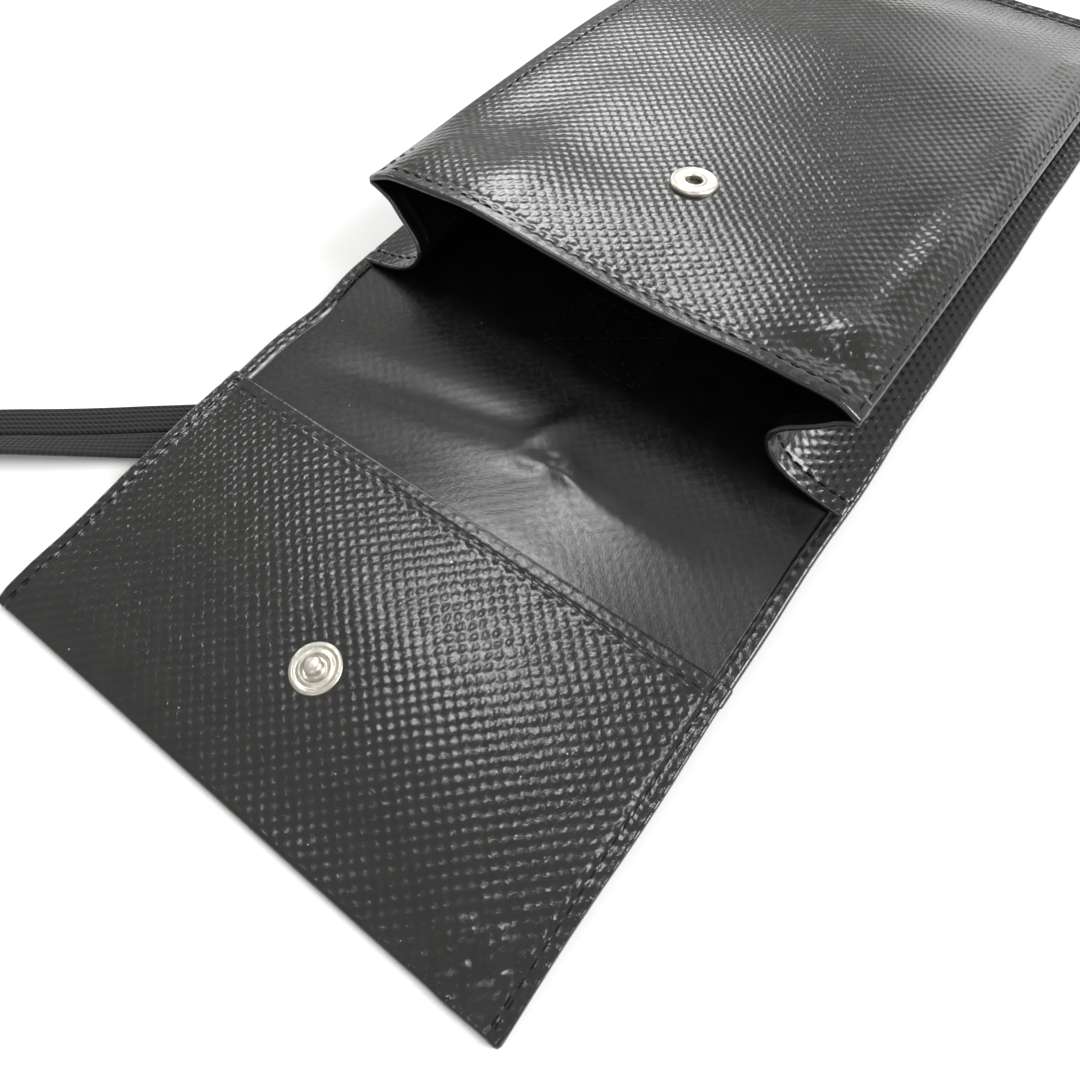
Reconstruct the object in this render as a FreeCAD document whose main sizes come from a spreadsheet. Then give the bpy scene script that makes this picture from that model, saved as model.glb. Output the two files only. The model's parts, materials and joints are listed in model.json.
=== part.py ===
"""Neck pouch wallet of coated truck tarpaulin, with a flap, a press snap and a braided neck cord.

Millimetres.  X runs across the pouch, +Y from the flap to the bottom seam, +Z up.  The pouch lies
on its back with the flap open: the flap's free edge, the cord anchor and the bottom seam touch
Z = 0.  Each sub-part is drawn flat in the frame of the panel it is sewn to.
"""
import FreeCAD
import Part

import math
import os

import Sketcher

Vector = FreeCAD.Vector
OUT_DIR = "parts"
ROW_PLANES = {"XY": "XY_Plane", "XZ": "XZ_Plane", "YZ": "YZ_Plane"}

# The driving dimensions: (alias, value, note).
DRIVING = [
    ("width", 130.0, "pouch, flap and back panel, across"),
    ("body_length", 196.0, "mouth line to bottom edge"),
    ("flap_length", 110.0, "mouth line to the flap's free edge"),
    ("facing_length", 68.5, "facing sewn on the flap's inside, from the free edge"),
    ("fold_reach", 18.9, "mouth line to the line where the flap folds"),
    ("cloth", 0.75, "tarpaulin thickness"),
    ("side_hem", 3.4, "folded side hem, width"),
    ("mouth_hem", 4.4, "hems of the front panel's mouth and of the facing"),
    ("lift", 4.4, "back panel's height at the mouth line, over the cord"),
    ("pocket_gap", 0.1, "air in the flap's flat slip pocket"),
    ("front_width", 119.0, "front panel, across"),
    ("front_start", 3.5, "mouth line to the front panel's mouth edge"),
    ("mouth_height", 27.45, "back panel to front panel, at the open mouth"),
    ("closed_height", 3.4, "the same with the pouch pressed flat"),
    ("seam_reach", 192.0, "mouth line to the line the front panel turns on"),
    ("seam_height", 1.3, "that line above the back panel"),
    ("fold_height", 4.3, "flap's fold axis above the cloth"),
    ("fold_gap", 0.35, "flap to back panel, at the fold"),
    ("pleat_inset", 46.0, "centre to the gusset's inner fold"),
    ("rim_reach", 59.3, "centre to the gusset's upper edge"),
    ("gusset_end", 170.0, "mouth line to where the pleat runs out in the seam"),
    ("snap_reach", 44.6, "mouth line to the snap's socket"),
    ("socket_radius", 5.5, "visible ring of the press snap's socket"),
    ("stud_radius", 5.3, "visible flange of the press snap's stud"),
    ("socket_hole", 2.3, "radius of the socket's opening"),
    ("socket_height", 1.3, "socket above the front panel"),
    ("stud_head", 1.8, "radius of the stud's rounded head"),
    ("stud_flange", 0.9, "thickness of the stud's flange"),
    ("stud_height", 2.9, "stud's head above the facing"),
    ("rivet_radius", 4.6, "hidden base discs of the snap"),
    ("side_inset", 2.6, "side stitching to the pouch's side edge"),
    ("hem_inset", 3.3, "mouth and facing stitching to the edge they follow"),
    ("bottom_inset", 3.8, "bottom stitching to the bottom edge"),
    ("tack_length", 8.0, "double stitching at the flap's free corners"),
    ("stitch_pitch", 3.3, "thread stitch, from start to start"),
    ("stitch_length", 2.5, "visible length of a stitch"),
    ("thread", 0.55, "width of the sewing thread"),
    ("thread_height", 0.25, "thread standing above the cloth"),
    ("patch_start", 3.0, "mouth line to the cord's anchor patch"),
    ("patch_length", 22.0, "anchor patch, along the pouch"),
    ("patch_width", 30.0, "anchor patch, across"),
    ("cord_width", 7.4, "flat braided neck cord"),
    ("cord_thickness", 1.9, "flat braided neck cord"),
    ("coil_outer", 58.0, "outer radius of the put-away coil"),
    ("coil_height", 2.0, "coil's thickness: its turns lie side by side"),
    ("tie_width", 5.0, "band that ties the coil"),
]

# Sizes worked out from them, as spreadsheet formulas.
DERIVED = [
    ("mouth_line", "=(flap_length - body_length) / 2"),
    ("back_tilt", "=asin(lift / body_length) / 1deg"),
    ("fold_y", "=mouth_line - fold_reach * cos(back_tilt * 1deg)"),
    ("fold_z", "=lift + fold_reach * sin(back_tilt * 1deg)"),
    ("flap_reach", "=flap_length - fold_reach"),
    ("flap_tilt", "=asin(fold_z / flap_reach) / 1deg"),
    ("front_length", "=hypot(seam_reach - front_start; mouth_height - seam_height)"),
    ("front_tilt", "=asin((mouth_height - seam_height) / front_length) / 1deg"),
    ("facing_under", "=2 * cloth + pocket_gap"),
    ("facing_top", "=facing_under + cloth"),
    ("spine_reach", "=flap_reach - facing_length"),
    ("stud_reach", "=snap_reach + 2 * fold_reach"),
    ("patch_depth", "=lift - (patch_start + patch_length) * tan(back_tilt * 1deg)"),
]

# Frames of the three panels that turn against each other: (name, Y, Z, tilt about X).
FRAMES = {
    "back_frame": ("Sizes.mouth_line", "Sizes.lift", "-Sizes.back_tilt"),
    "flap_frame": ("Sizes.fold_y", "Sizes.fold_z", "Sizes.flap_tilt"),
}

doc = FreeCAD.newDocument("neck_pouch_wallet")


def make_sizes():
    """The spreadsheet with every driving and derived dimension."""
    sheet = doc.addObject("Spreadsheet::Sheet", "Sizes")
    rows = [(alias, str(value)) for alias, value, _ in DRIVING] + DERIVED
    for number, (alias, value) in enumerate(rows, start=1):
        sheet.set(f"A{number}", alias)
        sheet.set(f"B{number}", value)
        sheet.setAlias(f"B{number}", alias)
    for number, (_, _, note) in enumerate(DRIVING, start=1):
        sheet.set(f"C{number}", note)
    doc.recompute()
    return sheet


sizes = make_sizes()


def value_of(expression):
    """An expression on the sheet as a plain number."""
    result = sizes.evalExpression(expression)
    return float(getattr(result, "Value", result))


def placement_text(x="0", y="0", z="0", tilt="0"):
    """The text of a placement expression: a shift, and a turn about X in degrees."""
    turn = f"create(<<rotation>>; create(<<vector>>; 1; 0; 0); {tilt})"
    return f"create(<<placement>>; create(<<vector>>; {x}; {y}; {z}); {turn})"


def make_frames():
    """The panels' own frames, as coordinate systems that every sub-part is placed in."""
    for name, (y, z, tilt) in FRAMES.items():
        frame = doc.addObject("Part::LocalCoordinateSystem", name)
        frame.setExpression("Placement", placement_text(y=y, z=z, tilt=tilt))
    front = doc.addObject("Part::LocalCoordinateSystem", "front_frame")
    seam = placement_text(y="Sizes.seam_reach", z="Sizes.seam_height", tilt="-Sizes.front_tilt")
    front.setExpression("Placement", f"back_frame.Placement * {seam}")
    doc.recompute()


def put(item, frame, x="0", y="0", z="0"):
    """Binds an object's placement to a panel's frame."""
    item.setExpression("Placement", f"{frame}.Placement * {placement_text(x, y, z)}")


def new_body(label):
    body = doc.addObject("PartDesign::Body", label)
    body.Label = label
    return body


def new_sketch(body, name, plane):
    """A sketch on one of the body's own origin planes."""
    sketch = body.newObject("Sketcher::SketchObject", name)
    role = ROW_PLANES[plane]
    support = [item for item in body.Origin.OriginFeatures if item.Role == role][0]
    sketch.AttachmentSupport = [(support, "")]
    sketch.MapMode = "FlatFace"
    return sketch


def bind_point(sketch, geometry, corner, position, expressions):
    """Ties one point of a sketch to a pair of expressions, measured from the origin."""
    for kind, number, text in zip(("DistanceX", "DistanceY"), position, expressions):
        constraint = sketch.addConstraint(
            Sketcher.Constraint(kind, -1, 1, geometry, corner, number)
        )
        sketch.setExpression(f"Constraints[{constraint}]", text)


def draw_polygon(sketch, corners):
    """A closed outline whose corners are pairs of expressions."""
    first = sketch.GeometryCount
    points = [(value_of(x), value_of(y)) for x, y in corners]
    for here, there in zip(points, points[1:] + points[:1]):
        sketch.addGeometry(Part.LineSegment(Vector(*here, 0), Vector(*there, 0)), False)
    count = len(points)
    for index in range(count):
        following = first + (index + 1) % count
        sketch.addConstraint(Sketcher.Constraint("Coincident", first + index, 2, following, 1))
    for index in range(count):
        bind_point(sketch, first + index, 1, points[index], corners[index])


def draw_circle(sketch, centre, radius):
    """A circle whose centre and radius are expressions."""
    position = (value_of(centre[0]), value_of(centre[1]))
    circle = Part.Circle(Vector(*position, 0), Vector(0, 0, 1), value_of(radius))
    index = sketch.addGeometry(circle, False)
    bind_point(sketch, index, 3, position, centre)
    constraint = sketch.addConstraint(Sketcher.Constraint("Radius", index, value_of(radius)))
    sketch.setExpression(f"Constraints[{constraint}]", radius)


def rectangle(x0, x1, y0, y1):
    return [(x0, y0), (x1, y0), (x1, y1), (x0, y1)]


def pad(body, sketch, length, reverse=False, midplane=False, name="Pad"):
    feature = body.newObject("PartDesign::Pad", name)
    feature.Profile = sketch
    feature.setExpression("Length", length)
    feature.Reversed = reverse
    feature.Midplane = midplane
    return feature


def revolve(body, sketch):
    """Turns a profile right round the body's own Z axis."""
    feature = body.newObject("PartDesign::Revolution", "Turned")
    feature.Profile = sketch
    axis = [item for item in body.Origin.OriginFeatures if item.Role == "Z_Axis"][0]
    feature.ReferenceAxis = (axis, [""])
    feature.Angle = 360
    return feature


def cut_hole(body, centre, radius):
    """A round hole right through a flat panel, checked by volume."""
    doc.recompute()
    before = body.Shape.Volume
    sketch = new_sketch(body, "HoleSketch", "XY")
    draw_circle(sketch, centre, radius)
    pocket = body.newObject("PartDesign::Pocket", "SnapHole")
    pocket.Profile = sketch
    pocket.Type = "ThroughAll"
    pocket.Midplane = True
    doc.recompute()
    if body.Shape.Volume >= before:
        raise RuntimeError(f"{body.Label}: the snap's hole cuts nothing")


def make_back_panel():
    """The long strip's back: a plate with its two side hems folded in."""
    body = new_body("back_panel")
    profile = new_sketch(body, "Section", "XZ")
    half, hem, cloth = "Sizes.width / 2", "Sizes.side_hem", "Sizes.cloth"
    draw_polygon(profile, [
        (f"-{half}", "0"), (half, "0"), (half, f"2 * {cloth}"),
        (f"{half} - {hem}", f"2 * {cloth}"), (f"{half} - {hem}", cloth),
        (f"{hem} - {half}", cloth), (f"{hem} - {half}", f"2 * {cloth}"),
        (f"-{half}", f"2 * {cloth}"),
    ])
    pad(body, profile, "Sizes.body_length + Sizes.fold_reach", reverse=True)
    put(body, "back_frame", y="-Sizes.fold_reach")
    return body


def make_seam_allowance():
    """The front panel's lower edge, sewn flat on the back panel between the hems."""
    body = new_body("bottom_seam_allowance")
    outline = new_sketch(body, "Outline", "XY")
    half = "(Sizes.width / 2 - Sizes.side_hem - 0.1)"
    start = "Sizes.seam_reach + 0.3"
    draw_polygon(outline, rectangle(f"-{half}", half, start, "Sizes.body_length"))
    pad(body, outline, "Sizes.cloth")
    put(body, "back_frame", z="Sizes.cloth")
    return body


def make_anchor_patch():
    """The patch under the back panel that holds both ends of the neck cord."""
    body = new_body("cord_anchor_patch")
    outline = new_sketch(body, "Outline", "XY")
    half, start = "Sizes.patch_width / 2", "Sizes.patch_start"
    draw_polygon(outline, rectangle(f"-{half}", half, start, f"{start} + Sizes.patch_length"))
    pad(body, outline, "Sizes.patch_depth", reverse=True)
    put(body, "back_frame")
    return body


def gusset_section(body, name, offset, side, low, high, sheet_height, sheet_width):
    """One V-shaped end of a side gusset: lower leaf, inner fold, upper leaf."""
    sketch = new_sketch(body, name, "XZ")
    sketch.setExpression("AttachmentOffset.Base.z", f"-({offset})")
    foot, fold, rim = "Sizes.width / 2 - 1", "Sizes.pleat_inset", "Sizes.rim_reach"
    middle = f"(({low}) + ({high})) / 2"
    draw_polygon(sketch, [
        (f"{side} * ({foot})", low), (f"{side} * ({fold})", middle),
        (f"{side} * ({rim})", high), (f"{side} * ({rim})", f"({high}) - {sheet_height}"),
        (f"{side} * ({fold} + {sheet_width})", middle),
        (f"{side} * ({foot})", f"({low}) + {sheet_height}"),
    ])
    return sketch


def make_gusset(label, side):
    """A side gusset: a strip pleated inwards once, running out in the bottom seam."""
    body = new_body(label)
    low = "2 * Sizes.cloth + Sizes.thread_height + 0.1"
    slope = "(Sizes.mouth_height - Sizes.seam_height) / (Sizes.seam_reach - Sizes.front_start)"
    end_high = f"Sizes.seam_height + {slope} * (Sizes.seam_reach - Sizes.gusset_end) - 0.15"
    mouth = gusset_section(body, "MouthEnd", "Sizes.front_start + 0.5", side, low,
                           "Sizes.mouth_height - Sizes.cloth - 0.3", "Sizes.cloth * 1.2", "1.2")
    seam = gusset_section(body, "SeamEnd", "Sizes.gusset_end", side, low, end_high, "0.5", "1.2")
    loft = body.newObject("PartDesign::AdditiveLoft", "Pleat")
    loft.Profile = mouth
    loft.Sections = [seam]
    loft.Ruled = True
    put(body, "back_frame")
    return body


def make_front_panel():
    """The front panel with the hem of its mouth folded inside, and the socket's hole."""
    body = new_body("front_panel")
    section = new_sketch(body, "Section", "YZ")
    reach, hem, cloth = "Sizes.front_length", "Sizes.mouth_hem", "Sizes.cloth"
    draw_polygon(section, [
        (f"-{reach}", f"-{cloth}"), (f"{hem} - {reach}", f"-{cloth}"),
        (f"{hem} - {reach}", "0"), ("-0.3", "0"), ("-0.3", cloth), (f"-{reach}", cloth),
    ])
    pad(body, section, "Sizes.front_width", midplane=True)
    cut_hole(body, ("0", "Sizes.snap_reach - Sizes.seam_reach"), "Sizes.socket_hole + 0.1")
    put(body, "front_frame")
    return body


def make_flap_outer():
    """The strip's flap: outer layer, with side hems from the fold to the facing."""
    body = new_body("flap_outer_panel")
    outline = new_sketch(body, "Outline", "XY")
    half, hem = "Sizes.width / 2", "Sizes.side_hem"
    draw_polygon(outline, rectangle(f"-{half}", half, "-Sizes.flap_reach", "-Sizes.fold_gap"))
    pad(body, outline, "Sizes.cloth")
    hems = new_sketch(body, "Hems", "XY")
    hems.setExpression("AttachmentOffset.Base.z", "Sizes.cloth")
    stop = "0.2 - Sizes.spine_reach"
    draw_polygon(hems, rectangle(f"-{half}", f"{hem} - {half}", stop, "-Sizes.fold_gap"))
    draw_polygon(hems, rectangle(f"{half} - {hem}", half, stop, "-Sizes.fold_gap"))
    pad(body, hems, "Sizes.cloth", name="SideHems")
    put(body, "flap_frame")
    return body


def make_flap_facing():
    """The strip's turned-back end: facing, its hem, and the fold at the free edge."""
    body = new_body("flap_facing")
    section = new_sketch(body, "Section", "YZ")
    edge, start = "-Sizes.flap_reach", "-Sizes.spine_reach"
    under, top, cloth = "Sizes.facing_under", "Sizes.facing_top", "Sizes.cloth"
    draw_polygon(section, [
        (edge, cloth), (f"{edge} + {cloth}", cloth), (f"{edge} + {cloth}", under),
        (f"{start} - Sizes.mouth_hem", under), (f"{start} - Sizes.mouth_hem", f"{under} - {cloth}"),
        (start, f"{under} - {cloth}"), (start, top), (edge, top),
    ])
    pad(body, section, "Sizes.width", midplane=True)
    cut_hole(body, ("0", "Sizes.fold_reach - Sizes.stud_reach"), "1.6")
    put(body, "flap_frame")
    return body


def turned_body(label, profile, frame, y, z):
    """A round piece of the snap, turned from half a section in radius and height."""
    body = new_body(label)
    section = new_sketch(body, "HalfSection", "XZ")
    draw_polygon(section, profile)
    revolve(body, section)
    put(body, frame, y=y, z=z)
    return body


def make_socket():
    """The snap's female ring on the front panel: a hollow channel round its spring."""
    hole, edge, top = "Sizes.socket_hole", "Sizes.socket_radius", "Sizes.socket_height"
    return turned_body("snap_socket", [
        (hole, top), (hole, f"{top} - 0.35"), (f"{edge} - 0.9", f"{top} - 0.35"),
        (f"{edge} - 0.9", "0"), (edge, "0"), (edge, f"{top} - 0.6"),
        (f"{edge} - 0.25", f"{top} - 0.2"), (f"{edge} - 0.7", top),
    ], "front_frame", "Sizes.snap_reach - Sizes.seam_reach", "Sizes.cloth")


def make_socket_base():
    """The socket's riveted cap inside the pouch, hollow where the stud's head ends."""
    hole, edge = "Sizes.socket_hole", "Sizes.rivet_radius"
    return turned_body("snap_socket_base", [
        ("0", "-0.9"), (f"{edge} - 0.3", "-0.9"), (edge, "-0.6"), (edge, "-0.05"),
        (hole, "-0.05"), (hole, "-0.5"), ("0", "-0.5"),
    ], "front_frame", "Sizes.snap_reach - Sizes.seam_reach", "0")


def make_socket_spring():
    """The socket's spring: a wire ring with two straight bars beside the stud's neck."""
    wire, ring, bar = 0.2, 3.7, value_of("Sizes.socket_hole - 0.15")
    reach = math.sqrt(ring**2 - bar**2)
    shape = Part.makeTorus(ring, wire, Vector(0, 0, 0), Vector(0, 0, 1))
    for x in (-bar, bar):
        rod = Part.makeCylinder(wire, 2 * reach, Vector(x, -reach, 0), Vector(0, 1, 0))
        shape = shape.fuse(rod)
    spring = doc.addObject("Part::Feature", "snap_socket_spring")
    spring.Shape = shape.removeSplitter()
    put(spring, "front_frame", y="Sizes.snap_reach - Sizes.seam_reach",
        z="Sizes.cloth + Sizes.socket_height / 2 - 0.1")
    return spring


def make_stud():
    """The snap's male half on the facing: ridged flange, neck and rounded head."""
    edge, flange = "Sizes.stud_radius", "Sizes.stud_flange"
    head, top = "Sizes.stud_head", "Sizes.stud_height"
    return turned_body("snap_stud", [
        ("0", "0"), (edge, "0"), (edge, f"{flange} - 0.35"), (f"{edge} - 0.4", flange),
        (f"{edge} - 1.1", flange), (f"{edge} - 1.4", f"{flange} - 0.25"),
        (f"{edge} - 2.1", f"{flange} - 0.25"), (f"{edge} - 2.5", flange), (f"{head} - 0.25", flange),
        (f"{head} - 0.25", f"{top} - 1.1"), (head, f"{top} - 0.8"), (head, f"{top} - 0.4"),
        (f"{head} - 0.35", f"{top} - 0.1"), (f"{head} - 0.9", top), ("0", top),
    ], "flap_frame", "Sizes.fold_reach - Sizes.stud_reach", "Sizes.facing_top")


def make_stud_base():
    """The stud's rivet, hidden in the flap's pocket, with its shank in the facing."""
    edge = "Sizes.rivet_radius"
    return turned_body("snap_stud_base", [
        ("0", "-0.65"), (f"{edge} - 0.2", "-0.65"), (edge, "-0.45"), (edge, "-0.05"),
        ("1.5", "-0.05"), ("1.5", "Sizes.cloth - 0.05"), ("0", "Sizes.cloth - 0.05"),
    ], "flap_frame", "Sizes.fold_reach - Sizes.stud_reach", "Sizes.facing_under")


def stitch_row(start, end):
    """The stitches of one straight seam, as boxes lying on the plane Z = 0."""
    pitch, length = value_of("Sizes.stitch_pitch"), value_of("Sizes.stitch_length")
    thread, height = value_of("Sizes.thread"), value_of("Sizes.thread_height")
    run = Vector(end[0] - start[0], end[1] - start[1], 0)
    count = max(1, round(run.Length / pitch))
    step = run.Length / count
    turn = FreeCAD.Rotation(Vector(1, 0, 0), run)
    stitches = []
    for index in range(count):
        stitch = Part.makeBox(length, thread, height, Vector((step - length) / 2, -thread / 2, 0))
        corner = Vector(*start, 0) + run * (index / count)
        stitch.Placement = FreeCAD.Placement(corner, turn)
        stitches.append(stitch)
    return stitches


def add_stitching(label, rows, frame, height, y="0"):
    """A seam's stitches, one node of separate solids on a panel's face."""
    stitches = [stitch for row in rows for stitch in stitch_row(*row)]
    seam = doc.addObject("Part::Feature", label)
    seam.Shape = Part.makeCompound(stitches)
    put(seam, frame, y=y, z=height)
    return seam


def mirrored(row):
    """A row of stitches and its twin on the other side of the pouch."""
    return [row, [(-x, y) for x, y in row]]


def make_back_seams():
    """Topstitching of the side hems, the bottom seam and the cord's anchor."""
    side = value_of("Sizes.width / 2 - Sizes.side_inset")
    line = value_of("Sizes.body_length - Sizes.bottom_inset")
    hem_row = [(side, value_of("1 - Sizes.fold_reach")), (side, line)]
    add_stitching("back_side_stitching", mirrored(hem_row), "back_frame", "2 * Sizes.cloth")
    across = value_of("Sizes.width / 2 - Sizes.side_hem - 1")
    add_stitching("bottom_seam_stitching", [[(-across, line + 0.6), (across, line + 0.6)]],
                  "back_frame", "2 * Sizes.cloth")
    half = value_of("Sizes.patch_width / 2 - 2")
    near = value_of("Sizes.patch_start + 2")
    far = near + value_of("Sizes.patch_length - 4")
    corners = [(-half, near), (half, near), (half, far), (-half, far)]
    box = [list(pair) for pair in zip(corners, corners[1:] + corners[:1])]
    add_stitching("cord_anchor_stitching", box, "back_frame", "Sizes.cloth")


def make_front_seams():
    """The mouth hem's stitching, the edge stitching of both rims, and the corner tacks."""
    reach = value_of("Sizes.front_length")
    side, inset = value_of("Sizes.front_width / 2"), value_of("Sizes.hem_inset")
    rim = side - 2.0
    line = inset - reach
    across = [(3 - side, line), (side - 3, line)]
    add_stitching("mouth_hem_stitching", [across], "front_frame", "Sizes.cloth")
    rims = mirrored([(rim, line + 2), (rim, -inset)])
    add_stitching("front_rim_stitching", rims, "front_frame", "Sizes.cloth")
    tacks = mirrored([(rim, 1.0 - reach), (rim, line)])
    add_stitching("mouth_corner_tacks", tacks, "front_frame", "Sizes.cloth")


def make_flap_seams():
    """The facing hem's stitching, the side seams of flap and spine, and the tacks."""
    side = value_of("Sizes.width / 2 - Sizes.side_inset")
    edge, start = value_of("Sizes.flap_reach"), value_of("Sizes.spine_reach")
    inset, tack = value_of("Sizes.hem_inset"), value_of("Sizes.tack_length")
    hem = [(2 - side, -start - inset), (side - 2, -start - inset)]
    add_stitching("facing_hem_stitching", [hem], "flap_frame", "Sizes.facing_top")
    sides = mirrored([(side, tack - edge), (side, -start - 2.6)])
    add_stitching("flap_side_stitching", sides, "flap_frame", "Sizes.facing_top")
    spine = mirrored([(side, -start + 0.6), (side, -1.0)])
    add_stitching("spine_side_stitching", spine, "flap_frame", "2 * Sizes.cloth")
    tacks = mirrored([(side, 1 - edge), (side, tack - edge)])
    tacks += mirrored([(side, -start - 2.5), (side, -start - 0.1)])
    add_stitching("flap_corner_tacks", tacks, "flap_frame", "Sizes.facing_top")


def cord_wire(route):
    """Straight runs joined by tangent arcs, and the arcs' radii.

    Each arc's radius is 0.45 of its shorter run over the tangent of half the turn.
    """
    points = [Vector(x, y, 0) for x, y in route]
    edges, radii, last = [], [], points[0]
    for before, corner, after in zip(points, points[1:], points[2:]):
        back, ahead = (before - corner), (after - corner)
        cut = 0.45 * min(back.Length, ahead.Length)
        half_turn = (math.pi - back.getAngle(ahead)) / 2
        radius = cut / math.tan(half_turn)
        start = corner + back.normalize() * cut
        end = corner + ahead.normalize() * cut
        inward = (back + ahead).normalize()
        middle = corner + inward * (radius / math.cos(half_turn) - radius)
        edges.append(Part.LineSegment(last, start).toShape())
        edges.append(Part.Arc(start, middle, end).toShape())
        radii.append(radius)
        last = end
    edges.append(Part.LineSegment(last, points[-1]).toShape())
    return Part.Wire(edges), radii


# The two runs of the neck cord on the table, from the anchor patch to the coil.
FAR_RUN = [(-3.8, -40.6), (-4.4, -51.0), (-10.5, -61.0), (-24.0, -69.5), (-45.0, -82.5),
           (-70.0, -100.6), (-88.0, -114.5), (-107.0, -127.3), (-126.0, -143.0), (-143.5, -163.0)]
NEAR_RUN = [(3.8, -40.6), (3.6, -54.5), (-5.0, -67.0), (-19.0, -75.6), (-40.5, -88.8),
            (-65.5, -106.8), (-83.5, -120.7), (-102.5, -133.6), (-120.0, -148.0), (-137.5, -168.0)]
COIL_CENTRE = (-112.0, -199.0)
CORD_REST = 0.05  # underside of the cord, just above the table


def make_cord_run(label, route):
    """One flat run of the neck cord, lying on the table under the flap."""
    wide, thick = value_of("Sizes.cord_width"), value_of("Sizes.cord_thickness")
    wire, radii = cord_wire(route)
    first, second = (Vector(x, y, 0) for x, y in route[:2])
    across = (second - first).cross(Vector(0, 0, 1)).normalize() * (wide / 2)
    rise = Vector(0, 0, thick)
    corners = [first - across, first + across, first + across + rise, first - across + rise]
    profile = Part.makePolygon(corners + corners[:1])
    shape = wire.makePipeShell([profile], True, False)
    expected = wire.Length * wide * thick
    print(f"{label}: length {wire.Length:.1f}, volume {shape.Volume:.0f} of {expected:.0f}, radii",
          " ".join(f"{radius:.0f}" for radius in radii))
    coil = Part.makeCylinder(value_of("Sizes.coil_outer"), 2 * thick, Vector(*COIL_CENTRE, -thick / 2))
    run = doc.addObject("Part::Feature", label)
    run.Shape = shape.cut(coil)
    run.Placement = FreeCAD.Placement(Vector(0, 0, CORD_REST), FreeCAD.Rotation())
    return run


def make_cord_coil():
    """The outer shape of the rest of the neck cord, wound into a flat coil."""
    body = new_body("neck_cord_coil")
    outline = new_sketch(body, "Outline", "XY")
    draw_circle(outline, ("0", "0"), "Sizes.coil_outer")
    pad(body, outline, "Sizes.coil_height")
    body.Placement = FreeCAD.Placement(Vector(*COIL_CENTRE, CORD_REST), FreeCAD.Rotation())
    return body


def make_cord_tie():
    """The tie that keeps the coil together: a narrow band lying across its turns."""
    body = new_body("neck_cord_tie")
    outline = new_sketch(body, "Outline", "XY")
    half = "Sizes.tie_width / 2"
    draw_polygon(outline, rectangle(f"-{half}", half, "-Sizes.coil_outer", "-Sizes.coil_outer / 3"))
    pad(body, outline, "0.6")
    height = CORD_REST + value_of("Sizes.coil_height")
    body.Placement = FreeCAD.Placement(Vector(*COIL_CENTRE, height), FreeCAD.Rotation())
    return body


def print_joints():
    """The axes that flap and front panel turn on, in the assembly's frame, and their travel."""
    seam = doc.getObject("front_frame").Placement.Base
    pressed = value_of("asin((Sizes.closed_height - Sizes.seam_height) / Sizes.front_length) / 1deg")
    print(f"front: axis along X at Y {seam.y:.3f}, Z {seam.z:.3f}, "
          f"travel {value_of('Sizes.front_tilt') - pressed:.3f} degrees")
    print(f"flap: axis along X at Y {value_of('Sizes.fold_y'):.3f}, "
          f"Z {value_of('Sizes.fold_z + Sizes.fold_height'):.3f}, "
          f"travel {value_of('180 + Sizes.back_tilt + Sizes.flap_tilt'):.3f} degrees")


def check_and_export():
    """Stops on any failed object or bad shape, then writes one STEP file per sub-part."""
    doc.recompute()
    for item in doc.Objects:
        if "Invalid" in item.State or "Error" in item.State:
            raise RuntimeError(f"{item.Label} failed: {item.State}")
    os.makedirs(OUT_DIR, exist_ok=True)
    pieces = [item for item in doc.Objects
              if item.TypeId in ("PartDesign::Body", "Part::Feature")]
    for piece in pieces:
        shape = piece.Shape
        if shape.isNull() or not shape.isValid() or not shape.Solids:
            raise RuntimeError(f"{piece.Label} has no valid solid")
        shape.exportStep(os.path.join(OUT_DIR, f"{piece.Label}.step"))
    print(f"{len(pieces)} sub-parts written")


make_frames()
make_back_panel()
make_seam_allowance()
make_anchor_patch()
make_gusset("gusset_left", -1)
make_gusset("gusset_right", 1)
make_front_panel()
make_flap_outer()
make_flap_facing()
make_socket()
make_socket_base()
make_socket_spring()
make_stud()
make_stud_base()
make_back_seams()
make_front_seams()
make_flap_seams()
make_cord_run("neck_cord_far_run", FAR_RUN)
make_cord_run("neck_cord_near_run", NEAR_RUN)
make_cord_coil()
make_cord_tie()
print_joints()
check_and_export()
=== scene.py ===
"""Looks of the neck pouch wallet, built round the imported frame.

Lengths are millimetres until a mesh is made.  On a panel, x runs across, v runs along it from the
mouth line (below zero towards the flap's free edge), and w stands out of the cloth.
"""
import json
import math

import bmesh
import bpy
import numpy as np
from mathutils import Matrix, Vector


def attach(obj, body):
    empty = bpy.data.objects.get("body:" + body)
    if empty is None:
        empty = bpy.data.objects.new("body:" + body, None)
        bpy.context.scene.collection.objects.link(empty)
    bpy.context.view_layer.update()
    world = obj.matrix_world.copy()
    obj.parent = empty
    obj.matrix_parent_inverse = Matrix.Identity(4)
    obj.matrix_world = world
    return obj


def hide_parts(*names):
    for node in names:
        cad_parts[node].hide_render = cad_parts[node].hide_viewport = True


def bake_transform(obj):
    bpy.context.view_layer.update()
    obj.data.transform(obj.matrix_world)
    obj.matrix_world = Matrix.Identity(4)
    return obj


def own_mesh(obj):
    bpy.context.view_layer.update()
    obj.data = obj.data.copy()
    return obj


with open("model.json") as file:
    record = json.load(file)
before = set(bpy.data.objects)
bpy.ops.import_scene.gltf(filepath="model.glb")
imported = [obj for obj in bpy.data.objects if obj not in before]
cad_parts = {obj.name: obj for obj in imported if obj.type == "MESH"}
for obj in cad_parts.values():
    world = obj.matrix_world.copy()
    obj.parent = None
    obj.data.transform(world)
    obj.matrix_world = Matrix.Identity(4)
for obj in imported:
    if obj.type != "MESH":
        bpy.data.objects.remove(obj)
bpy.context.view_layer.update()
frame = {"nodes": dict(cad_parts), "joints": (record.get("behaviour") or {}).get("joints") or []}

MM = 0.001

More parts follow.
